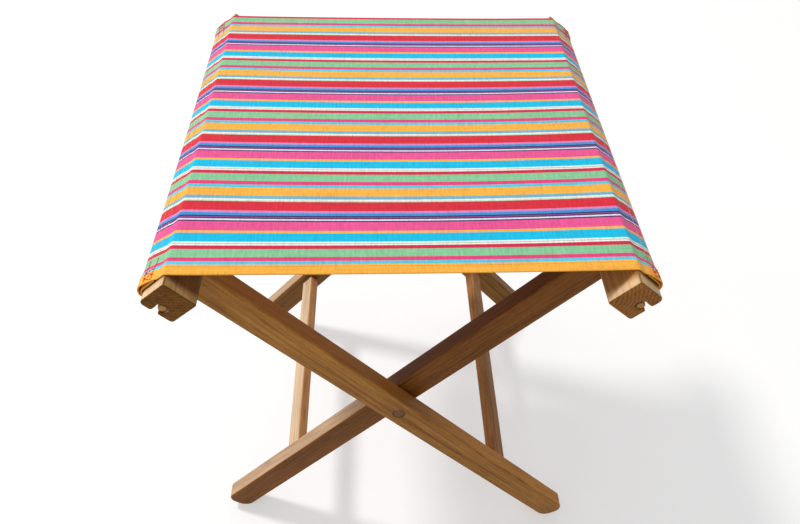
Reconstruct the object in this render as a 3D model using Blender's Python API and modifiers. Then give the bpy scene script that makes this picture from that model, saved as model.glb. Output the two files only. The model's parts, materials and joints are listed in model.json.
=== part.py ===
"""Folding camp stool: two crossed hardwood frames that pivot like scissors, with a canvas sling seat.

Units are metres, +Z is up, +X points to the right of the stool as seen from the front, and +Y points to the
back. The origin is on the floor, under the middle of the seat. The outer frame carries the left rail and
stands on the right, and the inner frame carries the right rail and stands on the left.

Each frame is built in its own plane, around an empty on the pivot axis. In that plane, "along" runs down the
leg from the rail to the foot, and "across" runs square to the leg, positive on its upper side. Section
points of a rail and its canvas are given as (along, across) from the rail's top corner.
"""
import math

import bmesh
import bpy
from mathutils import Matrix

# Driving dimensions.
SEAT_SPAN = 0.370                      # between the two top corners of the rails
LEG_ANGLE = math.radians(49.0)         # each leg above the floor, with the canvas taut
LEG_WIDTH = 0.032
LEG_THICKNESS = 0.019
LEG_REACH = 0.6122                     # rail's top corner to the foot, along the leg
RAIL_DEPTH = 0.033                     # rail section, measured along the leg
RAIL_LENGTH = 0.437
RAIL_OVERHANG = 0.036                  # rail end beyond the outer leg's face
CANVAS_WIDTH = 0.4156                  # front hem to back hem
CANVAS_THICKNESS = 0.0007
FRAME_GAP = 0.0015                     # between the two legs of one pivot, filled by a washer
GAP = 0.0003                           # clearance between pieces that touch

# Rounded edges.
TOP_CORNER_RADIUS = 0.003
LOWER_CORNER_RADIUS = 0.005            # rail's lower corner, which the canvas passes round
RAIL_CORNER_RADIUS = 0.003             # rail's two corners on the leg's side
LIP_OUTER_RADIUS = 0.0025
LIP_INNER_RADIUS = 0.0015
RAIL_END_RADIUS = 0.0010
LEG_EDGE_RADIUS = 0.0022
FOOT_LOWER_RADIUS = 0.013
FOOT_UPPER_RADIUS = 0.012
FOOT_FLAT_DEPTH = 0.0005               # sanded off each foot where it stands

# Keyhole groove in the lower face of each rail, and the rod that holds the canvas in it.
GROOVE_CENTRE = (0.0170, -0.0240)
GROOVE_RADIUS = 0.0052
MOUTH_OUTER = 0.0122
MOUTH_INNER = 0.0178
ROD_RADIUS = 0.0035
ROD_INSET = 0.0004                     # of each end of the rod within the rail's
ROD_EDGE_RADIUS = 0.0006

# Canvas pocket.
SEAM_ACROSS = -0.0130                  # the seam that closes the pocket, below the rail's top corner
STEP_START = -0.0080                   # the outer layer leaves the rail here to pass over the seam
STEP_END = -0.0150
TURN_RADIUS = 0.0018                   # bend of the outer layer from the groove's mouth to the rod
TURN_END_DEG = 105.0
LOOP_LEAD_DEG = 4.0                    # from the bend's centre line to where the loop round the rod starts

# Stretchers and joints.
STRETCHER_ALONG = 0.485                # centre of the stretcher from the rail's top corner
STRETCHER_WIDTH = 0.021
STRETCHER_THICKNESS = 0.013
STRETCHER_EDGE_RADIUS = 0.002
PEG_RADIUS = 0.0045                    # round tenon on each end of a stretcher
PEG_LENGTH = 0.011
TENON_LENGTH = 0.020
TENON_WIDTH = 0.013
TENON_ACROSS = (-0.0160, -0.0050)
SHOULDER_SPARE = 0.008                 # length that is cut off a leg square to make its shoulder

# Pivot hardware.
COUNTERBORE_RADIUS = 0.0064
COUNTERBORE_DEPTH = 0.0090
PLUG_RADIUS = 0.0060
PLUG_THICKNESS = 0.0042
PLUG_EDGE_RADIUS = 0.0004
HEAD_RADIUS = 0.0053
HEAD_HEIGHT = 0.0040
HEAD_CHAMFER = 0.0010
SHANK_RADIUS = 0.0030
WASHER_RADIUS = 0.0090
WASHER_THICKNESS = 0.0009

# Modelling settings.
ROUND_STEPS = 32
ARC_STEP = math.radians(15.0)
SMOOTH_ANGLE = math.radians(40.0)
BEVEL_ANGLE = math.radians(35.0)       # a sharper edge than this is rounded
MERGE_DISTANCE = 0.00001
CAP_COSINE = 0.99                      # how squarely a face looks along Y if it belongs to a cap
CUT_SPARE = 0.010                      # of a cutter beyond the face that it opens
FLOOR_CUTTER_SIZE = (0.8, 0.6, 0.05)

# Places that follow from the dimensions.
PIVOT_ALONG = (SEAT_SPAN / 2 + LEG_WIDTH / 2 * math.sin(LEG_ANGLE)) / math.cos(LEG_ANGLE)
FOOT_CENTRE_ALONG = LEG_REACH - FOOT_LOWER_RADIUS
FOOT_CENTRE_ACROSS = -LEG_WIDTH + FOOT_LOWER_RADIUS
FOOT_DROP = (
    (FOOT_CENTRE_ALONG - PIVOT_ALONG) * math.sin(LEG_ANGLE)
    - (FOOT_CENTRE_ACROSS + LEG_WIDTH / 2) * math.cos(LEG_ANGLE)
    + FOOT_LOWER_RADIUS
)
PIVOT_HEIGHT = FOOT_DROP - FOOT_FLAT_DEPTH
OUTER_LEG_Y = RAIL_LENGTH / 2 - RAIL_OVERHANG - LEG_THICKNESS / 2
INNER_LEG_Y = OUTER_LEG_Y - LEG_THICKNESS - FRAME_GAP

WOOD = (0.46, 0.28, 0.13)
WOOD_DARK = (0.36, 0.21, 0.10)
STEEL = (0.62, 0.62, 0.60)
NYLON = (0.85, 0.84, 0.80)
CANVAS = (0.85, 0.35, 0.45)


def clear_scene():
    for obj in list(bpy.data.objects):
        bpy.data.objects.remove(obj, do_unlink=True)


def collection(name):
    made = bpy.data.collections.new(name)
    bpy.context.scene.collection.children.link(made)
    return made


def material(name, colour, roughness, metallic=0.0):
    made = bpy.data.materials.new(name)
    made.use_nodes = True
    shader = made.node_tree.nodes["Principled BSDF"]
    shader.inputs["Base Color"].default_value = (*colour, 1.0)
    shader.inputs["Roughness"].default_value = roughness
    shader.inputs["Metallic"].default_value = metallic
    made.diffuse_color = (*colour, 1.0)
    return made


def add_object(name, mesh, parent=None, mat=None):
    obj = bpy.data.objects.new(name, mesh)
    PARTS.objects.link(obj)
    obj.parent = parent
    if mat:
        mesh.materials.append(mat)
    return obj


def add_cutter(name, mesh, parent=None):
    obj = bpy.data.objects.new(name, mesh)
    CUTTERS.objects.link(obj)
    obj.parent = parent
    obj.hide_render = True
    obj.display_type = "WIRE"
    return obj


def box_mesh(name, size, centre):
    bm = bmesh.new()
    bmesh.ops.create_cube(bm, size=1.0)
    bmesh.ops.scale(bm, verts=bm.verts, vec=size)
    bmesh.ops.translate(bm, verts=bm.verts, vec=centre)
    mesh = bpy.data.meshes.new(name)
    bm.to_mesh(mesh)
    bm.free()
    return mesh


def rod_mesh(name, radius, start_y, end_y, along=0.0, across=0.0):
    """A cylinder whose axis is parallel to Y."""
    bm = bmesh.new()
    bmesh.ops.create_cone(
        bm, cap_ends=True, segments=ROUND_STEPS, radius1=radius, radius2=radius, depth=abs(end_y - start_y)
    )
    bmesh.ops.rotate(bm, verts=bm.verts, matrix=Matrix.Rotation(math.pi / 2, 3, "X"))
    bmesh.ops.translate(bm, verts=bm.verts, vec=(along, (start_y + end_y) / 2, across))
    mesh = bpy.data.meshes.new(name)
    bm.to_mesh(mesh)
    bm.free()
    smooth(mesh)
    return mesh


def smooth(mesh):
    mesh.shade_smooth()
    mesh.set_sharp_from_angle(angle=SMOOTH_ANGLE)


def combine(obj, cutter, operation):
    modifier = obj.modifiers.new(cutter.name, "BOOLEAN")
    modifier.operation = operation
    modifier.solver = "EXACT"
    modifier.object = cutter
    return modifier


def round_edges(obj, radius, segments):
    modifier = obj.modifiers.new("rounded edges", "BEVEL")
    modifier.width = radius
    modifier.segments = segments
    modifier.limit_method = "ANGLE"
    modifier.angle_limit = BEVEL_ANGLE
    return modifier


def arc(centre, radius, start_deg, end_deg):
    """Points on an arc in a section plane, both ends included."""
    start = math.radians(start_deg)
    sweep = math.radians(end_deg) - start
    steps = max(2, math.ceil(abs(sweep) / ARC_STEP))
    return [
        (
            centre[0] + radius * math.cos(start + sweep * i / steps),
            centre[1] + radius * math.sin(start + sweep * i / steps),
        )
        for i in range(steps + 1)
    ]


def from_rail_corner(point):
    """A section point from the rail's top corner, as a place around the pivot."""
    return (point[0] - PIVOT_ALONG, point[1] + LEG_WIDTH / 2)


def extruded(name, outline, depth):
    """A mesh with this outline in the frame's plane, its depth along Y."""
    curve = bpy.data.curves.new(name, "CURVE")
    curve.dimensions = "2D"
    curve.fill_mode = "BOTH"
    curve.extrude = depth / 2
    spline = curve.splines.new("POLY")
    spline.points.add(len(outline) - 1)
    spline.use_cyclic_u = True
    for point, (along, across) in zip(spline.points, outline):
        point.co = (along, across, 0.0, 1.0)
    guide = bpy.data.objects.new(name + "_outline", curve)
    CUTTERS.objects.link(guide)
    bpy.context.view_layer.update()
    evaluated = guide.evaluated_get(bpy.context.evaluated_depsgraph_get())
    mesh = bpy.data.meshes.new_from_object(evaluated)
    bpy.data.objects.remove(guide, do_unlink=True)
    bm = bmesh.new()
    bm.from_mesh(mesh)
    bmesh.ops.remove_doubles(bm, verts=bm.verts, dist=MERGE_DISTANCE)
    for side in (-1.0, 1.0):
        cap = [face for face in bm.faces if face.normal.z * side > CAP_COSINE]
        bmesh.ops.dissolve_faces(bm, faces=cap)
    bmesh.ops.recalc_face_normals(bm, faces=bm.faces)
    bmesh.ops.rotate(bm, verts=bm.verts, matrix=Matrix.Rotation(math.pi / 2, 3, "X"))
    bm.to_mesh(mesh)
    bm.free()
    mesh.name = name
    return mesh


def rail_outline():
    """The rail's section: a rectangle with rounded corners and a keyhole groove open to its lower face."""
    lower = -LEG_WIDTH
    top = TOP_CORNER_RADIUS
    low = LOWER_CORNER_RADIUS
    side = RAIL_CORNER_RADIUS
    groove_along, groove_across = GROOVE_CENTRE
    outer_lip = (MOUTH_OUTER - LIP_OUTER_RADIUS, lower + LIP_OUTER_RADIUS)
    inner_lip = (MOUTH_INNER + LIP_INNER_RADIUS, lower + LIP_INNER_RADIUS)
    outer_angle = math.degrees(math.acos((MOUTH_OUTER - groove_along) / GROOVE_RADIUS))
    inner_angle = math.degrees(math.acos((MOUTH_INNER - groove_along) / GROOVE_RADIUS))
    points = arc((top, -top), top, 90.0, 180.0)
    points += arc((low, lower + low), low, 180.0, 270.0)
    points += arc(outer_lip, LIP_OUTER_RADIUS, 270.0, 360.0)
    points += arc((groove_along, groove_across), GROOVE_RADIUS, 360.0 - outer_angle, -inner_angle)
    points += arc(inner_lip, LIP_INNER_RADIUS, 180.0, 270.0)
    points += arc((RAIL_DEPTH - side, lower + side), side, 270.0, 360.0)
    points += arc((RAIL_DEPTH - side, -side), side, 0.0, 90.0)
    return [from_rail_corner(point) for point in points]


def leg_outline():
    """A straight bar from inside the rail to the foot, with the foot's two corners rounded."""
    start = RAIL_DEPTH - SHOULDER_SPARE
    points = [(start, 0.0), (start, -LEG_WIDTH)]
    points += arc((FOOT_CENTRE_ALONG, FOOT_CENTRE_ACROSS), FOOT_LOWER_RADIUS, 270.0, 360.0)
    points += arc((LEG_REACH - FOOT_UPPER_RADIUS, -FOOT_UPPER_RADIUS), FOOT_UPPER_RADIUS, 0.0, 90.0)
    return [from_rail_corner(point) for point in points]


def pocket_path():
    """The canvas from the rail's top corner to the seam, as one run of points along its middle surface.

    It passes down the rail's outer face, under it into the groove, round the rod, and back the same way
    between the rail and its own first layer.
    """
    lower = -LEG_WIDTH
    near = GAP + CANVAS_THICKNESS / 2
    far = near + CANVAS_THICKNESS + GAP
    up = 90.0 + math.degrees(LEG_ANGLE)
    top = (TOP_CORNER_RADIUS, -TOP_CORNER_RADIUS)
    corner = (LOWER_CORNER_RADIUS, lower + LOWER_CORNER_RADIUS)
    lip = (MOUTH_OUTER - LIP_OUTER_RADIUS, lower + LIP_OUTER_RADIUS)
    loop = ROD_RADIUS + near
    turn_centre = (MOUTH_OUTER + far + TURN_RADIUS, lip[1])
    entry_angle = -math.degrees(math.acos((turn_centre[0] - GROOVE_CENTRE[0]) / loop))
    points = arc(top, TOP_CORNER_RADIUS + near, up, 180.0)
    points += [(-near, STEP_START), (-(near + far) / 2, (STEP_START + STEP_END) / 2), (-far, STEP_END)]
    points += arc(corner, LOWER_CORNER_RADIUS + far, 180.0, 270.0)
    points += arc(lip, LIP_OUTER_RADIUS + far, 270.0, 360.0)
    points += arc(turn_centre, TURN_RADIUS, 180.0, TURN_END_DEG)[1:]
    points += arc(GROOVE_CENTRE, loop, entry_angle + LOOP_LEAD_DEG, 180.0)
    points += arc(lip, LIP_OUTER_RADIUS + near, 360.0, 270.0)
    points += arc(corner, LOWER_CORNER_RADIUS + near, 270.0, 180.0)
    points += [(-near, SEAM_ACROSS)]
    return [from_rail_corner(point) for point in points]


def frame_empty(name, turn):
    """An empty on the pivot axis, its X down the legs and its Z on their upper side."""
    empty = bpy.data.objects.new(name, None)
    PARTS.objects.link(empty)
    turned_about = Matrix.Rotation(turn, 4, "Z") @ Matrix.Rotation(LEG_ANGLE, 4, "Y")
    empty.matrix_world = Matrix.Translation((0.0, 0.0, PIVOT_HEIGHT)) @ turned_about
    return empty


def make_rail(name, parent, legs_y, mat):
    obj = add_object(name, extruded(name, rail_outline(), RAIL_LENGTH), parent, mat)
    round_edges(obj, RAIL_END_RADIUS, 2)
    for index, y in enumerate((-legs_y, legs_y)):
        deep = TENON_LENGTH + GAP
        low, high = (edge + LEG_WIDTH / 2 for edge in TENON_ACROSS)
        reach = deep + CUT_SPARE
        pocket = box_mesh(
            f"{name}_mortise_{index}",
            (reach, TENON_WIDTH + 2 * GAP, high - low + 2 * GAP),
            (RAIL_DEPTH - deep - PIVOT_ALONG + reach / 2, y, (low + high) / 2),
        )
        combine(obj, add_cutter(pocket.name, pocket, parent), "DIFFERENCE")
    return obj


def make_rod(name, parent, mat):
    along, across = from_rail_corner(GROOVE_CENTRE)
    end = RAIL_LENGTH / 2 - ROD_INSET
    obj = add_object(name, rod_mesh(name, ROD_RADIUS, -end, end, along, across), parent, mat)
    round_edges(obj, ROD_EDGE_RADIUS, 2)
    return obj


def make_leg(name, parent, y, outward, sockets_y, mat):
    """A leg centred on y in its frame. Its pivot plug is in the face that looks along outward, -1 or +1."""
    mesh = extruded(name, leg_outline(), LEG_THICKNESS)
    bm = bmesh.new()
    bm.from_mesh(mesh)
    bmesh.ops.translate(bm, verts=bm.verts, vec=(0.0, y, 0.0))
    bm.to_mesh(mesh)
    bm.free()
    obj = add_object(name, mesh, parent, mat)
    round_edges(obj, LEG_EDGE_RADIUS, 3)
    waste = SHOULDER_SPARE + CUT_SPARE
    shoulder = box_mesh(
        name + "_shoulder",
        (waste, 2 * LEG_THICKNESS, 2 * LEG_WIDTH),
        (RAIL_DEPTH + GAP - waste / 2 - PIVOT_ALONG, y, 0.0),
    )
    combine(obj, add_cutter(shoulder.name, shoulder, parent), "DIFFERENCE")
    low, high = (edge + LEG_WIDTH / 2 for edge in TENON_ACROSS)
    reach = TENON_LENGTH + CUT_SPARE
    tenon = box_mesh(
        name + "_tenon",
        (reach, TENON_WIDTH, high - low),
        (RAIL_DEPTH - TENON_LENGTH - PIVOT_ALONG + reach / 2, y, (low + high) / 2),
    )
    combine(obj, add_cutter(tenon.name, tenon, parent), "UNION")
    face = y + outward * LEG_THICKNESS / 2
    floor = face - outward * COUNTERBORE_DEPTH
    bore = rod_mesh(name + "_counterbore", COUNTERBORE_RADIUS, floor, face + outward * CUT_SPARE)
    combine(obj, add_cutter(bore.name, bore, parent), "DIFFERENCE")
    hole = rod_mesh(name + "_bolt_hole", SHANK_RADIUS + GAP, y - LEG_THICKNESS, y + LEG_THICKNESS)
    combine(obj, add_cutter(hole.name, hole, parent), "DIFFERENCE")
    along, across = from_rail_corner((STRETCHER_ALONG, -LEG_WIDTH / 2))
    start, end = sockets_y
    socket = rod_mesh(name + "_socket", PEG_RADIUS + GAP, start, end, along, across)
    combine(obj, add_cutter(socket.name, socket, parent), "DIFFERENCE")
    combine(obj, FLOOR_CUTTER, "DIFFERENCE")
    return obj


def make_stretcher(name, parent, face_y, mat):
    """A flat batten between two legs, with a round tenon on each end."""
    along, across = from_rail_corner((STRETCHER_ALONG, -LEG_WIDTH / 2))
    length = 2 * (face_y - GAP)
    mesh = box_mesh(name, (STRETCHER_WIDTH, length, STRETCHER_THICKNESS), (along, 0.0, across))
    obj = add_object(name, mesh, parent, mat)
    round_edges(obj, STRETCHER_EDGE_RADIUS, 3)
    reach = face_y + PEG_LENGTH
    peg = rod_mesh(name + "_peg", PEG_RADIUS, -reach, reach, along, across)
    combine(obj, add_cutter(peg.name, peg, parent), "UNION")
    return obj


def turned(name, profile, closed, parent, mat):
    """A turned piece on the pivot axis from (radius, y) points, listed from its front to its back."""
    mesh = bpy.data.meshes.new(name)
    count = len(profile)
    points = [(radius, 0.0, -y) for radius, y in profile]
    if points[0][2] < points[count // 2][2]:
        points.reverse()
    edges = [(i, i + 1) for i in range(count - 1)]
    if closed:
        edges.append((count - 1, 0))
    mesh.from_pydata(points, edges, [])
    obj = add_object(name, mesh, parent, mat)
    obj.rotation_euler = (math.pi / 2, 0.0, 0.0)
    screw = obj.modifiers.new("turned", "SCREW")
    screw.axis = "Z"
    screw.angle = 2 * math.pi
    screw.steps = ROUND_STEPS
    screw.render_steps = ROUND_STEPS
    screw.use_merge_vertices = True
    screw.merge_threshold = MERGE_DISTANCE
    return obj


def ring_profile(inner, outer, start, end):
    return [(outer, start), (outer, end), (inner, end), (inner, start)]


def make_pivot(place, sign, outer_parent, inner_parent, free_parent):
    """One pivot: a bolt through both legs with its head in the outer leg, and a wooden plug over each end.

    Profiles run from the outer face of the outer leg inwards. sign is -1 at the front and +1 at the back,
    and it changes over on the inner frame, whose own Y looks to the front.
    """
    outer_face = OUTER_LEG_Y + LEG_THICKNESS / 2
    inner_face = INNER_LEG_Y - LEG_THICKNESS / 2
    head_start = outer_face - PLUG_THICKNESS - GAP
    head_end = head_start - HEAD_HEIGHT
    washer_start = OUTER_LEG_Y - LEG_THICKNESS / 2 - (FRAME_GAP - WASHER_THICKNESS) / 2
    nut_start = inner_face + COUNTERBORE_DEPTH - GAP
    nut_end = nut_start - HEAD_HEIGHT
    plug_start = inner_face + PLUG_THICKNESS
    plug_face = PLUG_RADIUS - PLUG_EDGE_RADIUS
    outer_plug = [
        (0.0, outer_face),
        (plug_face, outer_face),
        (PLUG_RADIUS, outer_face - PLUG_EDGE_RADIUS),
        (PLUG_RADIUS, outer_face - PLUG_THICKNESS),
        (0.0, outer_face - PLUG_THICKNESS),
    ]
    bolt = [
        (0.0, head_start),
        (HEAD_RADIUS - HEAD_CHAMFER, head_start),
        (HEAD_RADIUS, head_start - HEAD_CHAMFER),
        (HEAD_RADIUS, head_end),
        (SHANK_RADIUS, head_end),
        (SHANK_RADIUS, nut_end),
        (0.0, nut_end),
    ]
    inner_plug = [
        (0.0, plug_start),
        (PLUG_RADIUS, plug_start),
        (PLUG_RADIUS, inner_face + PLUG_EDGE_RADIUS),
        (plug_face, inner_face),
        (0.0, inner_face),
    ]
    hole = SHANK_RADIUS + GAP
    washer = ring_profile(hole, WASHER_RADIUS, washer_start, washer_start - WASHER_THICKNESS)
    nut = ring_profile(hole, HEAD_RADIUS, nut_start, nut_end)
    shapes = [
        (f"plug_{place}_outer", outer_plug, False, outer_parent, PLUG_MATERIAL),
        (f"pivot_bolt_{place}", bolt, False, free_parent, STEEL_MATERIAL),
        (f"pivot_washer_{place}", washer, True, free_parent, NYLON_MATERIAL),
        (f"pivot_nut_{place}", nut, True, free_parent, STEEL_MATERIAL),
        (f"plug_{place}_inner", inner_plug, False, inner_parent, PLUG_MATERIAL),
    ]
    for name, profile, closed, parent, mat in shapes:
        side = -sign if parent == inner_parent else sign
        turned(name, [(radius, side * y) for radius, y in profile], closed, parent, mat)


def make_pocket(name, parent, mat):
    """The canvas round one rail: its path swept over the canvas's width and given its thickness."""
    bm = bmesh.new()
    half = CANVAS_WIDTH / 2
    verts = [bm.verts.new((along, -half, across)) for along, across in pocket_path()]
    edges = [bm.edges.new(pair) for pair in zip(verts, verts[1:])]
    swept = bmesh.ops.extrude_edge_only(bm, edges=edges)["geom"]
    moved = [item for item in swept if isinstance(item, bmesh.types.BMVert)]
    bmesh.ops.translate(bm, verts=moved, vec=(0.0, CANVAS_WIDTH, 0.0))
    mesh = bpy.data.meshes.new(name)
    bm.to_mesh(mesh)
    bm.free()
    obj = add_object(name, mesh, parent, mat)
    solidify = obj.modifiers.new("canvas thickness", "SOLIDIFY")
    solidify.thickness = CANVAS_THICKNESS
    solidify.offset = 0.0
    solidify.use_even_offset = True
    return obj


def make_panel(name, parent, mat):
    """The flat canvas between the rails, just above their top corners."""
    top_x = SEAT_SPAN / 2 + TOP_CORNER_RADIUS * (math.sin(LEG_ANGLE) - math.cos(LEG_ANGLE))
    top_corner_height = (
        PIVOT_HEIGHT + PIVOT_ALONG * math.sin(LEG_ANGLE) + LEG_WIDTH / 2 * math.cos(LEG_ANGLE)
    )
    centre_height = top_corner_height - TOP_CORNER_RADIUS * (math.sin(LEG_ANGLE) + math.cos(LEG_ANGLE))
    middle = centre_height + TOP_CORNER_RADIUS + GAP + CANVAS_THICKNESS / 2
    mesh = box_mesh(
        name,
        (2 * (top_x - GAP), CANVAS_WIDTH, CANVAS_THICKNESS),
        (0.0, 0.0, middle - PIVOT_HEIGHT),
    )
    return add_object(name, mesh, parent, mat)


clear_scene()
PARTS = collection("folding_camp_stool")
CUTTERS = collection("cutters")
WOOD_MATERIAL = material("oiled teak", WOOD, 0.45)
PLUG_MATERIAL = material("teak plug", WOOD_DARK, 0.55)
STEEL_MATERIAL = material("steel", STEEL, 0.3, 1.0)
NYLON_MATERIAL = material("nylon", NYLON, 0.4)
CANVAS_MATERIAL = material("striped canvas", CANVAS, 0.9)

FLOOR_CUTTER = add_cutter(
    "floor_cutter", box_mesh("floor_cutter", FLOOR_CUTTER_SIZE, (0.0, 0.0, -FLOOR_CUTTER_SIZE[2] / 2))
)

OUTER = frame_empty("outer_frame", 0.0)
INNER = frame_empty("inner_frame", math.pi)
MIDDLE = bpy.data.objects.new("pivot_axis", None)
PARTS.objects.link(MIDDLE)
MIDDLE.location = (0.0, 0.0, PIVOT_HEIGHT)
bpy.context.view_layer.update()

for side, frame, legs_y in (("left", OUTER, OUTER_LEG_Y), ("right", INNER, INNER_LEG_Y)):
    make_rail(f"rail_{side}", frame, legs_y, WOOD_MATERIAL)
    make_rod(f"canvas_rod_{side}", frame, WOOD_MATERIAL)
    make_pocket(f"canvas_pocket_{side}", frame, CANVAS_MATERIAL)

# The outer legs' capped faces look away from the stool's middle, and the inner legs' capped faces towards it.
# The inner frame is turned half a turn about Z, so its own -Y is the stool's back.
SOCKET_REACH = PEG_LENGTH + GAP
for place, sign in (("front", -1), ("back", 1)):
    face = sign * (OUTER_LEG_Y - LEG_THICKNESS / 2)
    make_leg(
        f"leg_{place}_outer", OUTER, sign * OUTER_LEG_Y, sign,
        (face - sign * CUT_SPARE, face + sign * SOCKET_REACH), WOOD_MATERIAL,
    )
    face = -sign * (INNER_LEG_Y - LEG_THICKNESS / 2)
    make_leg(
        f"leg_{place}_inner", INNER, -sign * INNER_LEG_Y, sign,
        (face + sign * CUT_SPARE, face - sign * SOCKET_REACH), WOOD_MATERIAL,
    )
    make_pivot(place, sign, OUTER, INNER, MIDDLE)

make_stretcher("stretcher_outer", OUTER, OUTER_LEG_Y - LEG_THICKNESS / 2, WOOD_MATERIAL)
make_stretcher("stretcher_inner", INNER, INNER_LEG_Y - LEG_THICKNESS / 2, WOOD_MATERIAL)
make_panel("canvas_panel", MIDDLE, CANVAS_MATERIAL)
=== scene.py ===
"""Looks of the folding camp stool: oiled teak frames and a striped canvas sling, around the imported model.

Metres, +Z up. The stool stands on the floor at z = 0 with its front towards -Y. Each half of the canvas is
one continuous sheet: half of the seat, down the rail's outer face, round the rod in the groove and back up
to the seam. It has a folded hem along its front and back edges.
"""
import itertools
import json
import math

import bpy
import numpy as np
from mathutils import Matrix, Vector

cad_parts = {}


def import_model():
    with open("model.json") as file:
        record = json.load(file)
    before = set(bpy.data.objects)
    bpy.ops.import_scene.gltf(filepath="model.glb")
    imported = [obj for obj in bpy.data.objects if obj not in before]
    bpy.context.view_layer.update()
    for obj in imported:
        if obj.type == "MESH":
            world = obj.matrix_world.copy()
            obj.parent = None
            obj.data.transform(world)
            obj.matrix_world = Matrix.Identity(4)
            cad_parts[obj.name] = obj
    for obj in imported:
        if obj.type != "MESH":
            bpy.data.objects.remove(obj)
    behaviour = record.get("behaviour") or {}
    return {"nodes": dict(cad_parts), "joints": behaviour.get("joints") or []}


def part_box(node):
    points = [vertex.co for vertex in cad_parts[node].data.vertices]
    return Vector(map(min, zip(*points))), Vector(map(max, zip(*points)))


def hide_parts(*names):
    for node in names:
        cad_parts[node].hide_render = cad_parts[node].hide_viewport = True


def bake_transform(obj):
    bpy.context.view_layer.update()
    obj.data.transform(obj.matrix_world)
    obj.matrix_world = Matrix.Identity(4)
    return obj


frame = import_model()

MM = 0.001

# The frame's own dimensions.
LEG_ANGLE = math.radians(49.0)
LEG_WIDTH = 32.0 * MM
SEAT_SPAN = 370.0 * MM
TOP_CORNER_RADIUS = 3.0 * MM
LOWER_CORNER_RADIUS = 5.0 * MM
LIP_RADIUS = 2.5 * MM
GROOVE_CENTRE = (17.0 * MM, -24.0 * MM)
MOUTH_OUTER = 12.2 * MM
ROD_RADIUS = 3.5 * MM

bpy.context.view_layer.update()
PANEL_LOW, PANEL_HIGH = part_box("canvas_panel")
BACK_REACH = 2.9 * MM              # the woven canvas reaches this far past its plain panel, towards the back
CANVAS_WIDTH = PANEL_HIGH.y - PANEL_LOW.y + BACK_REACH
PIVOT = Vector(frame["joints"][0]["pos_m"])
AWAY = Vector((math.cos(LEG_ANGLE), 0.0, -math.sin(LEG_ANGLE)))   # down the outer legs, from the left rail
UPPER = Vector((math.sin(LEG_ANGLE), 0.0, math.cos(LEG_ANGLE)))   # square to them, on their upper side
SIDEWAYS = Vector((0.0, 1.0, 0.0))


def mirrored(vector):
    """The same direction or place on the other frame."""
    return Vector((-vector.x, vector.y, vector.z))


INNER_AWAY = mirrored(AWAY)
INNER_UPPER = mirrored(UPPER)


def placed(name, data):
    """A new object for this data, in the scene."""
    obj = bpy.data.objects.new(name, data)
    bpy.context.scene.collection.objects.link(obj)
    return obj


# ---------------------------------------------------------------------------------------------------------
# Shader helpers


def new_material(name):
    made = bpy.data.materials.new(name)
    made.use_nodes = True
    return made, made.node_tree, made.node_tree.nodes["Principled BSDF"]


def node(tree, kind, inputs=None, **settings):
    """A node with its settings and inputs. An input is a socket to link or a plain value."""
    made = tree.nodes.new(kind)
    for key, value in settings.items():
        setattr(made, key, value)
    for key, value in (inputs or {}).items():
        if isinstance(value, bpy.types.NodeSocket):
            tree.links.new(value, made.inputs[key])
        else:
            made.inputs[key].default_value = value
    return made


def calc(tree, operation, *values, clamp=False):
    """A Math node. MULTIPLY_ADD takes value, factor, added."""
    made = node(tree, "ShaderNodeMath", dict(enumerate(values)), operation=operation, use_clamp=clamp)
    return made.outputs[0]


def vector_calc(tree, operation, *values, output="Vector"):
    made = node(tree, "ShaderNodeVectorMath", dict(enumerate(values)), operation=operation)
    return made.outputs[output]


def mixed(tree, factor, first, second, blend="MIX"):
    """Two colours mixed. A colour is a socket or three linear numbers."""
    made = tree.nodes.new("ShaderNodeMix")
    made.data_type = "RGBA"
    made.blend_type = blend
    for key, value in (("Factor_Float", factor), ("A_Color", first), ("B_Color", second)):
        socket = next(item for item in made.inputs if item.identifier == key)
        if isinstance(value, bpy.types.NodeSocket):
            tree.links.new(value, socket)
        else:
            socket.default_value = value if key == "Factor_Float" else (*value, 1.0)
    return next(item for item in made.outputs if item.identifier == "Result_Color")


def ramp(tree, factor, stops, interpolation="LINEAR"):
    """A colour ramp from (place, linear colour) stops."""
    made = node(tree, "ShaderNodeValToRGB", {"Fac": factor})
    made.color_ramp.interpolation = interpolation
    elements = made.color_ramp.elements
    while len(elements) < len(stops):
        elements.new(1.0)
    for element, (place, colour) in zip(elements, stops):
        element.position = place
        element.color = (*colour, 1.0)
    return made.outputs["Color"]


def between(tree, value, low, high):
    """0 below low and 1 above high, smooth between them. It falls instead where low is the greater."""
    made = node(
        tree, "ShaderNodeMapRange", {"Value": value, "From Min": low, "From Max": high},
        interpolation_type="SMOOTHSTEP",
    )
    return made.outputs["Result"]


def noise(tree, vector, detail=2.0, roughness=0.5):
    inputs = {"Vector": vector, "Scale": 1.0, "Detail": detail, "Roughness": roughness}
    return node(tree, "ShaderNodeTexNoise", inputs, noise_dimensions="3D").outputs["Fac"]


def object_noise(tree, cells, detail=2.0):
    """Noise in cells per metre, the same along all three axes or one number for each."""
    coords = node(tree, "ShaderNodeTexCoord").outputs["Object"]
    scale = cells if isinstance(cells, tuple) else grey(cells)
    return noise(tree, vector_calc(tree, "MULTIPLY", coords, scale), detail)


def linear(*srgb):
    """Linear colour from 0 to 255 display values."""
    return tuple(
        value / 255 / 12.92 if value <= 10 else ((value / 255 + 0.055) / 1.055) ** 2.4 for value in srgb
    )


def grey(value):
    return (value,) * 3


def scaled(colour, share):
    """A linear colour made darker or lighter."""
    return tuple(min(1.0, value * share) for value in colour)


# ---------------------------------------------------------------------------------------------------------
# Wood

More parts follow.
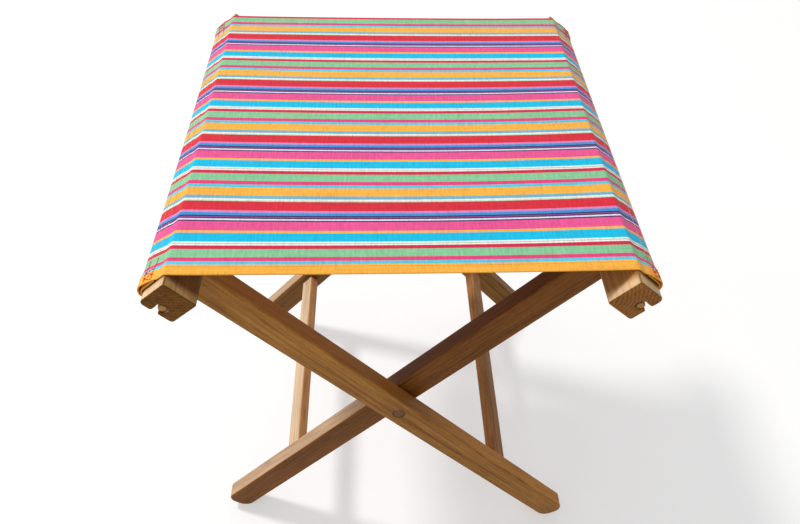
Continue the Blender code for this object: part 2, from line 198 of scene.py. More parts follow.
# Patterns in the wood: noise in cells per metre along and across the grain, then its shift, detail and
# roughness.
GRAIN = {
    "sway": (3.0, 22.0, 0.0, 2.0, 0.5),
    "waver": (14.0, 130.0, 5.0, 2.0, 0.5),
    "streak": (2.2, 85.0, 11.0, 3.0, 0.6),
    "thin": (7.0, 420.0, 61.0, 3.0, 0.6),
    "figure": (30.0, 230.0, 83.0, 2.0, 0.6),
    "cloud": (7.0, 18.0, 17.0, 2.0, 0.5),
    "fibre": (60.0, 1700.0, 23.0, 2.0, 0.6),
    "pores": (260.0, 2600.0, 31.0, 1.0, 0.5),
    "vein": (1.7, 120.0, 71.0, 2.0, 0.5),
    "dots": (900.0, 900.0, 41.0, 1.0, 0.5),
    "patchy": (45.0, 160.0, 53.0, 2.0, 0.5),
}
# How the patterns make up the wood's tone: the noise values where it is dark and light, and its share.
TONE_SHARES = {
    "streak": (0.34, 0.66, 0.25),
    "thin": (0.30, 0.70, 0.22),
    "figure": (0.28, 0.72, 0.26),
    "cloud": (0.25, 0.75, 0.30),
}
RING_SHARE = 0.20
FIBRE_SHARE = 0.36
TONE_BASE = -0.27
PITH_LEAN = (0.035, -0.02)         # how far the pith moves sideways per metre along the piece
SWAY_DEPTH = 13.0 * MM             # how far the rings wander
WAVER_DEPTH = 1.8 * MM
DRIFT = 14.0 * MM                  # how far the grain lines drift to the side along the piece
ARRIS = (0.6 * MM, 2.8 * MM)       # a worn arris is palest up to the first distance and ends at the second
STAIN_BLUR = 0.9 * MM


def wood(name, grain, face, origin, half, seed, tones, pith, ring=4.2 * MM, pale=(), stain=None):
    """Oiled teak. grain runs along the piece, face is square to its broad face, and origin is its middle.

    half is the half size across (grain x face) and along face, for the worn arrises, or None for none. pith
    says how far origin lies from the middle of the growth rings, across and along face, and ring is the width
    of one. pale lists faces with painted light or painted shade: paler where the lamp lights them, darker
    where the seat shades them, as (direction, colour, start, blur). A face turns to the colour at start along
    the grain, or beyond start to both sides where start is negative. Where blur is negative, the colour lies
    before start and not after it. stain is the radius of a darker ring round origin on the broad faces.
    """
    made, tree, shader = new_material(name)
    light, dark = tones
    coords = node(tree, "ShaderNodeTexCoord")
    place = vector_calc(tree, "SUBTRACT", coords.outputs["Object"], tuple(origin))

    def along_axis(vector, axis):
        return vector_calc(tree, "DOT_PRODUCT", vector, tuple(axis), output="Value")

    x, y, z = (along_axis(place, axis) for axis in (grain, grain.cross(face), face))

    def pattern(kind, sideways=y):
        along, square, shift, detail, roughness = GRAIN[kind]
        cells = node(tree, "ShaderNodeCombineXYZ", {
            "X": calc(tree, "MULTIPLY_ADD", x, along, seed + shift),
            "Y": calc(tree, "MULTIPLY_ADD", sideways, square, seed * 1.7),
            "Z": calc(tree, "MULTIPLY_ADD", z, square, seed * 2.3),
        }).outputs["Vector"]
        return noise(tree, cells, detail, roughness)

    def distance(first, second):
        """The length of two components together."""
        squares = calc(tree, "MULTIPLY_ADD", first, first, calc(tree, "MULTIPLY", second, second))
        return calc(tree, "SQRT", squares)

    # Growth rings round a pith outside the piece, wandering slowly along the grain.
    sway = pattern("sway")
    off_y = calc(tree, "ADD", calc(tree, "MULTIPLY_ADD", x, PITH_LEAN[0], y), pith[0])
    off_z = calc(tree, "ADD", calc(tree, "MULTIPLY_ADD", x, PITH_LEAN[1], z), pith[1])
    radius = calc(tree, "MULTIPLY_ADD", sway, SWAY_DEPTH, distance(off_y, off_z))
    radius = calc(tree, "MULTIPLY_ADD", pattern("waver"), WAVER_DEPTH, radius)
    growth = calc(tree, "FRACT", calc(tree, "DIVIDE", radius, ring))
    ring_tone = ramp(tree, growth, [
        (0.0, grey(0.12)), (0.07, grey(0.0)), (0.2, grey(0.55)), (0.5, grey(1.0)), (0.86, grey(0.7)),
        (1.0, grey(0.12)),
    ])

    drift = calc(tree, "MULTIPLY_ADD", sway, DRIFT, y)
    patterns = {kind: pattern(kind, drift) for kind in ("streak", "thin", "figure")}
    patterns["cloud"] = pattern("cloud")
    fibre = pattern("fibre")
    pore = between(tree, pattern("pores"), 0.60, 0.70)
    vein = between(tree, pattern("vein", drift), 0.60, 0.70)

    tone = calc(tree, "MULTIPLY_ADD", ring_tone, RING_SHARE, TONE_BASE)
    for kind, (low, high, share) in TONE_SHARES.items():
        tone = calc(tree, "MULTIPLY_ADD", between(tree, patterns[kind], low, high), share, tone)
    tone = calc(tree, "MULTIPLY_ADD", fibre, FIBRE_SHARE, tone, clamp=True)
    middle = tuple(a * 0.55 + b * 0.45 for a, b in zip(light, dark))
    colour = ramp(tree, tone, [(0.0, dark), (0.5, middle), (1.0, light)])
    colour = mixed(tree, calc(tree, "MULTIPLY", vein, 0.48), colour, scaled(dark, 0.78))
    colour = mixed(tree, calc(tree, "MULTIPLY", pore, 0.45), colour, scaled(dark, 0.45))

    # Painted light and shade: a face turned to direction takes the listed colour, paler where the lamp lights
    # it and darker where the seat shades it, with the wood's grain kept in it.
    for direction, painted_tone, start, blur in pale:
        turned = between(tree, along_axis(coords.outputs["Normal"], direction), 0.80, 0.97)
        far = calc(tree, "ABSOLUTE", x) if start < 0 else x
        turned = calc(tree, "MULTIPLY", turned, between(tree, far, abs(start) - blur, abs(start) + blur))
        uneven = ramp(tree, tone, [(0.0, scaled(painted_tone, 0.55)), (0.75, painted_tone)])
        colour = mixed(tree, calc(tree, "MULTIPLY", turned, 0.92), colour, uneven)

    # The cut ends are duller, with dark late wood in the rings and the pores as dots.
    end = between(tree, calc(tree, "ABSOLUTE", along_axis(coords.outputs["Normal"], grain)), 0.75, 0.98)
    dots = between(tree, pattern("dots"), 0.52, 0.68)
    sawn = mixed(tree, 1.0, colour, (1.12, 1.02, 0.92), blend="MULTIPLY")
    late = calc(tree, "MULTIPLY", calc(tree, "MULTIPLY_ADD", ring_tone, -0.62, 0.62), patterns["cloud"])
    sawn = mixed(tree, late, sawn, scaled(dark, 0.42))
    sawn = mixed(tree, calc(tree, "MULTIPLY", dots, 0.22), sawn, scaled(dark, 0.3))
    colour = mixed(tree, end, colour, sawn)

    if half:
        # Arrises rubbed a little paler where two faces meet.
        near_y = calc(tree, "SUBTRACT", half[0], calc(tree, "ABSOLUTE", y))
        near_z = calc(tree, "SUBTRACT", half[1], calc(tree, "ABSOLUTE", z))
        reach = calc(tree, "ADD", calc(tree, "MAXIMUM", near_y, 0.0), calc(tree, "MAXIMUM", near_z, 0.0))
        rubbed = calc(tree, "SUBTRACT", 1.0, between(tree, reach, *ARRIS))
        rubbed = calc(tree, "MULTIPLY", rubbed, between(tree, pattern("patchy"), 0.36, 0.62))
        rubbed = calc(tree, "MULTIPLY", rubbed, calc(tree, "SUBTRACT", 1.0, end))
        worn = mixed(tree, 0.45, colour, scaled(light, 1.45))
        colour = mixed(tree, calc(tree, "MULTIPLY", rubbed, 0.7), colour, worn)
    if stain:
        ringed = calc(tree, "SUBTRACT", 1.0, between(tree, distance(x, y), stain, stain + STAIN_BLUR))
        broad = between(tree, calc(tree, "ABSOLUTE", along_axis(coords.outputs["Normal"], face)), 0.7, 0.9)
        ringed = calc(tree, "MULTIPLY", calc(tree, "MULTIPLY", ringed, broad), 0.8)
        colour = mixed(tree, ringed, colour, scaled(dark, 0.35))
    tree.links.new(colour, shader.inputs["Base Color"])

    shine = calc(tree, "MULTIPLY_ADD", patterns["streak"], 0.16, 0.36)
    shine = calc(tree, "MULTIPLY_ADD", pore, 0.2, shine)
    shine = calc(tree, "MULTIPLY_ADD", end, 0.22, shine, clamp=True)
    tree.links.new(shine, shader.inputs["Roughness"])
    relief = calc(tree, "MULTIPLY_ADD", pore, -0.8, calc(tree, "MULTIPLY", fibre, 0.6))
    relief = calc(tree, "MULTIPLY_ADD", growth, 0.35, relief)
    bump = node(tree, "ShaderNodeBump", {"Strength": 0.35, "Distance": 0.12 * MM, "Height": relief})
    tree.links.new(bump.outputs["Normal"], shader.inputs["Normal"])
    shader.inputs["Specular IOR Level"].default_value = 0.11
    return made


def paint(name, mat):
    """Puts a material on a CAD node, and returns the node's object."""
    obj = frame["nodes"][name]
    for slot in obj.material_slots:
        slot.material = mat
    return obj


def dress(name, mat):
    """Paints a CAD node, with its rounded edges shaded as one surface."""
    obj = paint(name, mat)
    weld = obj.modifiers.new("joined facets", "WELD")
    weld.merge_threshold = 0.01 * MM
    normals = obj.modifiers.new("flat faces", "WEIGHTED_NORMAL")
    normals.mode = "FACE_AREA_WITH_ANGLE"
    normals.weight = 50


GOLD = linear(200, 140, 65)
BROWN = linear(126, 77, 24)
UMBER = linear(84, 47, 12)
# Painted light: paler colours for faces turned to the lamp, and where it starts on the rails' ends and on the
# tips of their inner faces.
PAINTED_LIGHT_TAN = linear(206, 170, 136)
PAINTED_LIGHT_CREAM = linear(226, 190, 146)
PAINTED_END_LIGHT_START = -209.0 * MM           # the rails' bare ends, beyond the canvas
PAINTED_TIP_LIGHT_START = -210.5 * MM            # the paler tips of their inner faces

FRAMES = {
    "outer": {"along": AWAY, "upper": UPPER, "rail": "rail_left", "rod": "canvas_rod_left"},
    "inner": {"along": INNER_AWAY, "upper": INNER_UPPER, "rail": "rail_right", "rod": "canvas_rod_right"},
}
TONES = {
    "leg_front_outer": (GOLD, BROWN),
    "leg_back_outer": (linear(160, 113, 54), linear(100, 62, 22)),
    "leg_front_inner": (linear(154, 95, 32), UMBER),
    "leg_back_inner": (linear(158, 110, 58), linear(98, 62, 26)),
    "rail_left": (linear(146, 100, 40), linear(88, 54, 14)),
    "rail_right": (linear(178, 124, 64), linear(104, 66, 26)),
    "stretcher_outer": (linear(190, 134, 78), linear(120, 76, 36)),
    "stretcher_inner": (linear(222, 166, 112), linear(164, 116, 70)),
}
ROD_TONES = (linear(216, 168, 112), linear(150, 104, 60))
PLUG_TONES = (linear(142, 104, 62), linear(84, 56, 30))
ALL_ALONG = (500.0 * MM, -10.0 * MM)   # all that lies before a start beyond the piece: the whole face
# Painted light and shade on each piece: faces turned to the lamp are paler, and the upper parts of the front
# legs' faces, in the seat's shade, are darker.
PAINTED_LIGHT_AND_SHADE = {
    "leg_front_outer": [
        (UPPER, linear(218, 148, 64), 50.0 * MM, 90.0 * MM),
        (UPPER, linear(180, 118, 54), 50.0 * MM, -90.0 * MM),
    ],
    "leg_front_inner": [
        (INNER_UPPER, PAINTED_LIGHT_TAN, 10.0 * MM, 40.0 * MM),
        (INNER_UPPER, linear(104, 56, 14), 10.0 * MM, -40.0 * MM),
    ],
    "leg_back_inner": [(INNER_UPPER, PAINTED_LIGHT_TAN, 10.0 * MM, 40.0 * MM)],
    "rail_left": [
        (-AWAY, linear(250, 216, 172), PAINTED_END_LIGHT_START, 3.0 * MM),
        (UPPER, linear(212, 164, 106), PAINTED_TIP_LIGHT_START, 4.0 * MM),
    ],
    "rail_right": [
        (-INNER_AWAY, PAINTED_LIGHT_CREAM, PAINTED_END_LIGHT_START, 3.0 * MM),
        (INNER_UPPER, PAINTED_LIGHT_CREAM, PAINTED_TIP_LIGHT_START, 4.0 * MM),
    ],
    "stretcher_inner": [(INNER_UPPER, linear(222, 192, 158), *ALL_ALONG)],
}
STAIN = 6.4 * MM                   # just outside the plugs
STRETCHER_HALF = (10.5 * MM, 6.5 * MM)
SEEDS = itertools.count(7.47, 4.37)   # each piece of wood is cut from another place in the patterns


def middle(name):
    """The middle of a CAD node's box."""
    low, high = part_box(name)
    return (low + high) / 2


for frame_name, parts in FRAMES.items():
    for place in ("front", "back"):
        leg = f"leg_{place}_{frame_name}"
        low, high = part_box(leg)
        dress(leg, wood(
            leg + "_teak", parts["along"], SIDEWAYS, Vector((PIVOT.x, (low.y + high.y) / 2, PIVOT.z)),
            (LEG_WIDTH / 2, (high.y - low.y) / 2), next(SEEDS), TONES[leg], pith=(55.0 * MM, -30.0 * MM),
            pale=PAINTED_LIGHT_AND_SHADE.get(leg, ()), stain=STAIN,
        ))
    rail, rod, stretcher = parts["rail"], parts["rod"], f"stretcher_{frame_name}"
    dress(rail, wood(
        rail + "_teak", SIDEWAYS, parts["upper"], middle(rail), None, next(SEEDS), TONES[rail],
        pith=(35.0 * MM, -40.0 * MM), ring=3.4 * MM, pale=PAINTED_LIGHT_AND_SHADE[rail],
    ))
    dress(rod, wood(
        rod + "_wood", SIDEWAYS, parts["upper"], middle(rod), None, next(SEEDS), ROD_TONES,
        pith=(4.0 * MM, -3.0 * MM), ring=1.9 * MM,
    ))
    dress(stretcher, wood(
        stretcher + "_teak", SIDEWAYS, parts["upper"], middle(stretcher), STRETCHER_HALF, next(SEEDS),
        TONES[stretcher], pith=(45.0 * MM, -30.0 * MM), pale=PAINTED_LIGHT_AND_SHADE.get(stretcher, ()),
    ))

# Plugs: darker teak, with the grain across the leg's own.
for place in ("front", "back"):
    for frame_name, parts in FRAMES.items():
        plug = f"plug_{place}_{frame_name}"
        dress(plug, wood(
            plug + "_teak", parts["upper"], SIDEWAYS, middle(plug), None, next(SEEDS), PLUG_TONES,
            pith=(0.0, 0.0), ring=2.6 * MM,
        ))


# ---------------------------------------------------------------------------------------------------------
# Pivot hardware


def steel():
    made, tree, shader = new_material("zinc_plated_steel")
    grain = object_noise(tree, (2600.0, 300.0, 2600.0), detail=3.0)
    cloud = object_noise(tree, 240.0)
    colour = ramp(tree, cloud, [(0.3, (0.50, 0.50, 0.48)), (0.7, (0.66, 0.66, 0.63))])
    tree.links.new(colour, shader.inputs["Base Color"])
    tree.links.new(calc(tree, "MULTIPLY_ADD", grain, 0.25, 0.24), shader.inputs["Roughness"])
    bump = node(tree, "ShaderNodeBump", {"Strength": 0.15, "Distance": 0.05 * MM, "Height": grain})
    tree.links.new(bump.outputs["Normal"], shader.inputs["Normal"])
    shader.inputs["Metallic"].default_value = 1.0
    return made


def nylon():
    made, tree, shader = new_material("natural_nylon")
    cloud = object_noise(tree, 900.0, detail=3.0)
    colour = ramp(tree, cloud, [(0.3, linear(214, 210, 196)), (0.7, linear(228, 225, 214))])
    tree.links.new(colour, shader.inputs["Base Color"])
    tree.links.new(calc(tree, "MULTIPLY_ADD", cloud, 0.2, 0.35), shader.inputs["Roughness"])
    return made


STEEL = steel()
NYLON = nylon()
for place in ("front", "back"):
    paint(f"pivot_bolt_{place}", STEEL)
    paint(f"pivot_nut_{place}", STEEL)
    paint(f"pivot_washer_{place}", NYLON)


# ---------------------------------------------------------------------------------------------------------
# Canvas

THICKNESS = 0.60 * MM
CLEAR = 0.12 * MM                  # between the canvas and what it lies on
ROD_CLEAR = 0.04 * MM              # between it and the rod that it is pulled round
FOLD = THICKNESS + 0.06 * MM       # from one layer of a hem to the other, middle to middle
HEM = 10.0 * MM
HEM_FINE = 2.2 * HEM               # the cloth has close points as far as this from its edge
SEAM_ACROSS = -13.0 * MM           # where the pocket's inner layer ends, across the rail
STEP_START = -7.0 * MM             # between these the outer layer steps out over the inner one
STEP_END = -15.0 * MM
MOUTH_TURN = 1.7 * MM              # radius of the cloth's turn between the lip and the rod

# CORNER_HEIGHT is where the rail's outer and upper faces would meet if their corner weren't rounded. The
# seat's middle line lies FLAT_RISE above it: down to the rounded corner, and up by the clearance and half of
# the cloth.
CORNER_HEIGHT = (
    PIVOT.z + (SEAT_SPAN / 2 + LEG_WIDTH / 2 * math.sin(LEG_ANGLE)) * math.tan(LEG_ANGLE)
    + LEG_WIDTH / 2 * math.cos(LEG_ANGLE)
)
FLAT_RISE = TOP_CORNER_RADIUS * (1 - math.sin(LEG_ANGLE) - math.cos(LEG_ANGLE)) + CLEAR + THICKNESS / 2

# How the cloth lies. Sides are -1 for the left rail and +1 for the right one.
LOOSE = {-1: (2.8 * MM, 0.9 * MM), 1: (1.9 * MM, 0.4 * MM)}   # per side, at the front and at the back
LOOSE_FROM = 0.4                   # it grows from here, in shares of half the width behind the middle
SAG = 1.9 * MM                     # halfway between the rails, at the front edge
MIDDLE_SAG = 0.75                  # its share halfway back
TAUT_BACK = 60.0 * MM              # the sag fades out over this length before the back edge
RIPPLE = 0.22 * MM                 # low waves in the cloth beside each rail
RIPPLE_LENGTH = 31.0 * MM          # over one radian of the wave
RIPPLE_PHASE = 1.1                 # the two sides' waves are shifted by this, each its own way
RIPPLE_AT, RIPPLE_REACH = 165.0 * MM, 30.0 * MM
PULL = 1.1 * MM                    # how far the edges draw in between the rails
SKEW = 3.4 * MM                    # how much further back the front hem lies at the right rail
BOW = {-1: 1.5 * MM, 1: 4.4 * MM}  # how much further back the stripes lie at each rail than in the middle
BOW_FRONT = 85.0 * MM              # the bow grows over this length from the front edge
BOW_BACK = (26.0 * MM, 216.0 * MM)   # and fades between these distances from the back edge
SEAT_STEPS = 44                    # from the middle of the seat to the rail
TOP_STEPS = 8                      # then round its top corner
STRAIGHT_POINTS = 3                # and, in points, down its outer face to the step and beyond
FALL_POINTS = 17
UV_NAME = "cloth"

# Stripes from front to back, as (width in millimetres, display colour). The repeat starts FRONT_STRIPE behind
# the front edge, and what lies before that is the end of its last stripe, the orange.
FRONT_STRIPE = 10.9
REPEAT = [
    (4.1, (92, 205, 228)),      # pale cyan
    (4.9, (236, 68, 126)),      # rose
    (10.3, (138, 205, 156)),    # leaf green
    (4.6, (214, 44, 80)),       # crimson
    (1.3, (248, 246, 240)),     # white
    (1.5, (198, 214, 194)),     # pale green
    (1.5, (250, 252, 248)),     # white
    (10.2, (14, 194, 236)),     # sky blue
    (3.2, (252, 182, 88)),      # thin orange
    (11.0, (238, 88, 152)),     # pink
    (1.7, (30, 8, 78)),         # dotted violet
    (1.9, (228, 228, 252)),     # pale lilac
    (1.4, (66, 8, 70)),         # dotted maroon
    (1.2, (156, 80, 164)),      # purple
    (1.4, (10, 14, 76)),        # dotted navy
    (3.6, (62, 150, 216)),      # blue
    (1.75, (196, 146, 216)),    # lilac
    (1.2, (240, 120, 168)),     # light pink
    (11.3, (222, 44, 62)),      # red
    (0.5, (120, 110, 70)),      # olive line
    (1.9, (212, 228, 204)),     # pale green
    (1.5, (250, 248, 240)),     # white
    (4.1, (118, 184, 208)),     # grey blue
    (11.2, (255, 182, 70)),     # orange
]
DRAWN_FRONT = 2.4 * MM             # how much of the cloth the front hem's stitching takes up
DRAWN_FROM, DRAWN_TO = 5.0 * MM, 40.0 * MM
DRAWN_BACK = 2.6 * MM              # and the back hem's, over TAUT_BACK
WANDER = 0.35 * MM                 # how far a stripe's edge wanders
DOTTED = (10, 12, 14)              # stripes whose ends alternate with their neighbour's colour
THREAD_PITCH = 0.62 * MM           # from one warp end to the next
PICK_PITCH = 0.95 * MM
# Uneven yarn: noise in cells per metre along and across the ends, then its shift, detail, roughness and
# share.
YARN = {
    "end": (9.0, 1 / THREAD_PITCH, 3.0, 2.0, 0.6, 0.50),        # each end has its own tone
    "pick": (0.5 / PICK_PITCH, 26.0, 8.0, 3.0, 0.65, 0.40),     # picks pack in slow bands
    "short": (0.5 / PICK_PITCH, 130.0, 29.0, 2.0, 0.6, 0.50),
    "slub": (110.0, 900.0, 14.0, 2.0, 0.5, 0.26),               # slubs run for a few millimetres
    "broad": (22.0, 30.0, 21.0, 2.0, 0.5, 0.16),
}
YARN_BASE = 0.10


def canvas_material():
    """Woven stripes that run along u, with warp ends along u and picks across it."""
    made, tree, shader = new_material("striped_canvas")
    uv = node(tree, "ShaderNodeUVMap", uv_map=UV_NAME).outputs["UV"]
    parts = node(tree, "ShaderNodeSeparateXYZ", {"Vector": uv})
    u, v = parts.outputs["X"], parts.outputs["Y"]

    def cells(along, across, shift=0.0):
        return node(tree, "ShaderNodeCombineXYZ", {
            "X": calc(tree, "MULTIPLY_ADD", u, along, shift),
            "Y": calc(tree, "MULTIPLY", v, across),
            "Z": shift,
        }).outputs["Vector"]

    # The edge of a stripe wanders by a fraction of an end, as the ends do between picks.
    wander = noise(tree, cells(420.0, 60.0), detail=1.0)
    v_woven = calc(tree, "MULTIPLY_ADD", calc(tree, "SUBTRACT", wander, 0.5), WANDER, v)
    total = sum(width for width, _ in REPEAT)
    v_laid = calc(tree, "MULTIPLY_ADD", between(tree, v, DRAWN_FROM, DRAWN_TO), DRAWN_FRONT, v_woven)
    near_back = between(tree, v, CANVAS_WIDTH - TAUT_BACK, CANVAS_WIDTH)
    v_laid = calc(tree, "MULTIPLY_ADD", near_back, DRAWN_BACK, v_laid)
    turns = calc(tree, "DIVIDE", calc(tree, "SUBTRACT", v_laid, FRONT_STRIPE * MM), total * MM)
    phase = calc(tree, "FRACT", turns)
    stops, dot_stops, place = [], [(0.0, grey(0.0))], 0.0
    for index, (width, colour) in enumerate(REPEAT):
        stops.append((place / total, linear(*colour)))
        if index in DOTTED:
            dot_stops.append((place / total, grey(1.0)))
            dot_stops.append(((place + width) / total, grey(0.0)))
        place += width
    colour = ramp(tree, phase, stops, "CONSTANT")
    dotted = ramp(tree, phase, dot_stops, "CONSTANT")

    end_wave = calc(tree, "SINE", calc(tree, "MULTIPLY", v, math.pi / THREAD_PITCH))
    end_height = calc(tree, "ABSOLUTE", end_wave)
    parity = calc(tree, "MULTIPLY", calc(tree, "FLOOR", calc(tree, "DIVIDE", v, THREAD_PITCH)), math.pi)
    along = calc(tree, "MULTIPLY", u, math.pi / PICK_PITCH)
    pick = calc(tree, "COSINE", calc(tree, "ADD", along, parity))
    pick_wave = calc(tree, "MULTIPLY_ADD", pick, 0.5, 0.5)
    weave = calc(tree, "MULTIPLY", end_height, calc(tree, "MULTIPLY_ADD", pick_wave, 0.55, 0.45))

    # Every other pick of a dotted stripe shows the neighbour's paler end.
    beat = calc(tree, "MULTIPLY_ADD", calc(tree, "COSINE", along), 0.5, 0.5)
    paler = calc(tree, "MULTIPLY", dotted, calc(tree, "MULTIPLY", beat, 0.10))
    colour = mixed(tree, paler, colour, linear(214, 170, 214))

    shade, yarn = YARN_BASE, {}
    for kind, (lengthwise, crosswise, shift, detail, roughness, share) in YARN.items():
        yarn[kind] = noise(tree, cells(lengthwise, crosswise, shift), detail, roughness)
        shade = calc(tree, "MULTIPLY_ADD", yarn[kind], share, shade)
    # The yarn's uneven tone is its own; the darkening in the hollows between ends and picks is painted shade.
    shade = calc(tree, "MULTIPLY", shade, calc(tree, "MULTIPLY_ADD", weave, 0.20, 0.88))
    even = node(tree, "ShaderNodeCombineXYZ", {"X": shade, "Y": shade, "Z": shade}).outputs["Vector"]
    colour = vector_calc(tree, "MULTIPLY", colour, even)
    tree.links.new(colour, shader.inputs["Base Color"])

    height = calc(tree, "MULTIPLY_ADD", yarn["slub"], 0.35, weave)
    bump = node(tree, "ShaderNodeBump", {"Strength": 0.55, "Distance": 0.16 * MM, "Height": height})
    tree.links.new(bump.outputs["Normal"], shader.inputs["Normal"])
    tree.links.new(calc(tree, "MULTIPLY_ADD", yarn["slub"], 0.12, 0.80), shader.inputs["Roughness"])
    shader.inputs["Sheen Weight"].default_value = 0.12
    shader.inputs["Sheen Roughness"].default_value = 0.45
    shader.inputs["Specular IOR Level"].default_value = 0.22
    return made


def arc(centre, radius, start_deg, end_deg, steps):
    """Points on an arc in the section plane, both ends included."""
    angles = np.radians(np.linspace(start_deg, end_deg, steps + 1))
    return np.stack([centre[0] + radius * np.cos(angles), centre[1] + radius * np.sin(angles)], axis=1)


def line(start, end, count):
    """Points on a straight run, without its ends."""
    share = np.linspace(0.0, 1.0, count + 2)[1:-1, None]
    return np.array(start) * (1 - share) + np.array(end) * share


def smooth_step(value):
    value = np.clip(value, 0.0, 1.0)
    return value * value * (3 - 2 * value)


def pocket(hem, loose):
    """The canvas's middle line from the rail's top corner to the seam, as (along, across) of the rail.

    hem is 1 where the canvas is doubled by its hem, which holds it that much further off, and 0 elsewhere.
    loose is how far the outer layer stands off at the rail's lower corner.
    """
    near = CLEAR + THICKNESS / 2 + hem * FOLD
    far = near + THICKNESS + CLEAR + hem * FOLD
    loop = ROD_RADIUS + ROD_CLEAR + THICKNESS / 2 + hem * FOLD
    lower = -LEG_WIDTH
    top = (TOP_CORNER_RADIUS, -TOP_CORNER_RADIUS)
    corner = (LOWER_CORNER_RADIUS, lower + LOWER_CORNER_RADIUS)
    lip = (MOUTH_OUTER - LIP_RADIUS, lower + LIP_RADIUS)
    turn_centre = (MOUTH_OUTER + far + MOUTH_TURN, lip[1])
    entry = -math.degrees(math.acos(min(1.0, (turn_centre[0] - GROOVE_CENTRE[0]) / loop)))
    falling = np.linspace(STEP_START, corner[1], FALL_POINTS)
    stand_off = near + (far - near) * smooth_step((STEP_START - falling) / (STEP_START - STEP_END))
    stand_off += loose * smooth_step((STEP_START - falling) / (STEP_START - corner[1]))
    bend = np.radians(np.linspace(180.0, 270.0, 12)[1:])
    bend_radius = LOWER_CORNER_RADIUS + far + loose * np.linspace(1.0, 0.0, 12)[1:] ** 0.8
    runs = [
        arc(top, TOP_CORNER_RADIUS + near, 90.0 + math.degrees(LEG_ANGLE), 180.0, TOP_STEPS),
        line((-near, -TOP_CORNER_RADIUS), (-near, STEP_START), STRAIGHT_POINTS),
        np.stack([-stand_off, falling], axis=1),
        np.stack([corner[0] + bend_radius * np.cos(bend), corner[1] + bend_radius * np.sin(bend)], axis=1),
        line((corner[0], lower - far), (lip[0], lower - far), 3),
        arc(lip, LIP_RADIUS + far, 270.0, 360.0, 8),
        arc(turn_centre, MOUTH_TURN, 180.0, 105.0, 5)[1:],
        arc(GROOVE_CENTRE, loop, entry + 4.0, 180.0, 22),
        arc(lip, LIP_RADIUS + near, 360.0, 270.0, 8),
        line((lip[0], lower - near), (corner[0], lower - near), 3),
        arc(corner, LOWER_CORNER_RADIUS + near, 270.0, 180.0, 8),
        line((-near, corner[1]), (-near, SEAM_ACROSS), 6),
        np.array([(-near, SEAM_ACROSS)]),
    ]
    return np.concatenate(runs)


def pocket_index(across):
    """The path index where the outer layer of the pocket passes this place across the rail."""
    falling = pocket(0.0, 0.0)[:TOP_STEPS + 1 + STRAIGHT_POINTS + FALL_POINTS, 1]
    return SEAT_STEPS + np.interp(-across, -falling, np.arange(len(falling)))


def run_length(points):
    """How far each point of a path lies along it."""
    return np.concatenate([[0.0], np.cumsum(np.linalg.norm(np.diff(points, axis=0), axis=1))])


def section():
    """The canvas's own cross-section from front to back, hems included, as one closed outline.

    Returns its points as (v, y, lift): v along the cloth from the front edge, y in the room, and lift above
    the cloth's middle surface. The hem's lower layer lies one FOLD below the canvas.
    """
    half = CANVAS_WIDTH / 2
    bend = FOLD / 2
    front = -half + bend
    turn = np.radians(np.linspace(270.0, 90.0, 9))
    under = np.linspace(front + HEM, front, 7)[:-1]
    y = np.concatenate([under, front + bend * np.cos(turn)])
    lift = np.concatenate([np.full(len(under), -FOLD), -bend + bend * np.sin(turn)])
    inner = np.concatenate([
        np.linspace(front, front + HEM, 8)[1:], np.linspace(front + HEM, front + HEM_FINE, 7)[1:],
        np.linspace(front + HEM_FINE, 0.0, 24)[1:],
    ])
    y = np.concatenate([y, inner])
    lift = np.concatenate([lift, np.zeros(len(inner))])
    y = np.concatenate([y, -y[-2::-1]])
    lift = np.concatenate([lift, lift[-2::-1]])
    middle = np.stack([y, lift], axis=1)
    tangent = np.gradient(middle, axis=0)
    tangent /= np.linalg.norm(tangent, axis=1)[:, None]
    normal = np.stack([-tangent[:, 1], tangent[:, 0]], axis=1)
    cloth = run_length(middle) - HEM - math.pi * bend / 2
    upper = middle + normal * THICKNESS / 2
    lower = middle - normal * THICKNESS / 2
    outline = np.concatenate([upper, lower[::-1]])
    v = np.concatenate([cloth, cloth[::-1]])
    return np.column_stack([np.abs(v), outline])


